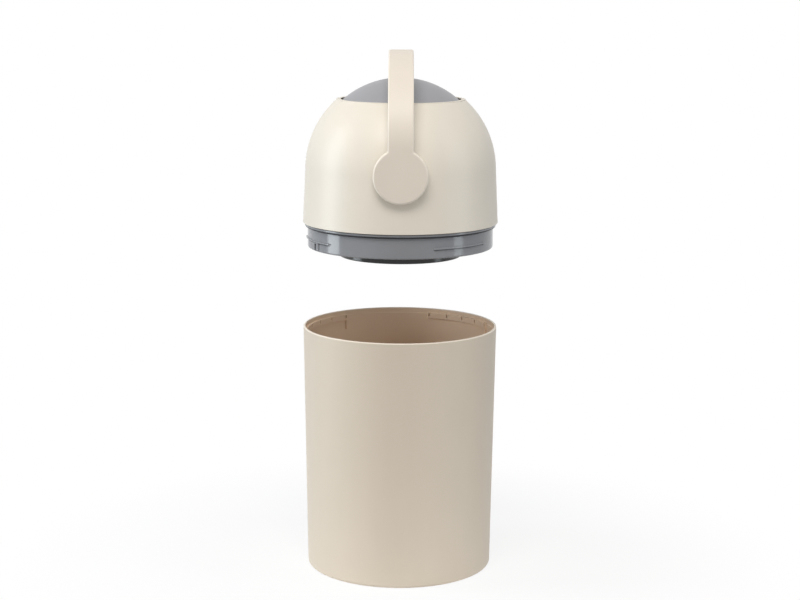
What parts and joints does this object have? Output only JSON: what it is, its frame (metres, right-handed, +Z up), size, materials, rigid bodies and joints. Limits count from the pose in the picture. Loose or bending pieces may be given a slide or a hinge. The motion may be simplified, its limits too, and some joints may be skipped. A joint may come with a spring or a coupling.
{
  "type": "diaper pail",
  "caption": "Tapered round pail with a lift-off domed head; its arched handle is keyed to a hollow ball that swings to load and drop waste.",
  "frame": {"origin": "middle of the underside of the bin, on the surface it stands on", "axes": "+Z up along the bin's and the head's common axis, Y along the pivot axis of the handle and ball with the front disc towards -Y, X across them; the ball's mouth faces -X at rest"},
  "size_m": [0.23, 0.2446, 0.6178],
  "materials": {
    "bin_plastic": "fine satin grain, warm beige",
    "shell_plastic": "fine satin, warm cream",
    "handle_plastic": "fine matt, pale sand",
    "ball_plastic": "fine matt, cool grey",
    "collar_plastic": "semi-gloss, mid grey",
    "ring_plastic": "semi-gloss, charcoal",
    "seal_rubber": "soft matt, dark grey",
    "bearing_plastic": "smooth satin, natural white",
    "screw_steel": "zinc plated"
  },
  "bodies": {
    "bin": {"bin": "bin_plastic"},
    "throat": {"throat_ring": "ring_plastic"},
    "head": {"dome_shell": "shell_plastic", "top_seal": "seal_rubber", "front_bush": "bearing_plastic", "rear_bush": "bearing_plastic", "collar": "collar_plastic", "rim_gasket": "seal_rubber", "collar_screws": "screw_steel", "chute": "collar_plastic", "chute_screws": "screw_steel", "lower_seal": "seal_rubber"},
    "ball": {"ball_bowl": "ball_plastic", "ball_mouth": "ball_plastic", "front_axle": "bearing_plastic", "rear_axle": "bearing_plastic", "axle_o_rings": "seal_rubber", "handle": "handle_plastic", "handle_liner": "handle_plastic", "disc_plates": "handle_plastic", "handle_screws": "screw_steel"}
  },
  "joints": [
    {"name": "head_lift", "type": "slide", "parent": "bin", "child": "throat", "axis": [0, 0, 1], "range_m": [-0.1211, 0.05]},
    {"name": "head_twist", "type": "hinge", "parent": "throat", "child": "head", "pos_m": [0, 0, 0.4164], "axis": [0, 0, 1], "range_deg": [-50, 0]},
    {"name": "handle_swing", "type": "hinge", "parent": "head", "child": "ball", "pos_m": [0, 0, 0.4824], "axis": [0, 1, 0], "range_deg": [-90, 90]}
  ]
}
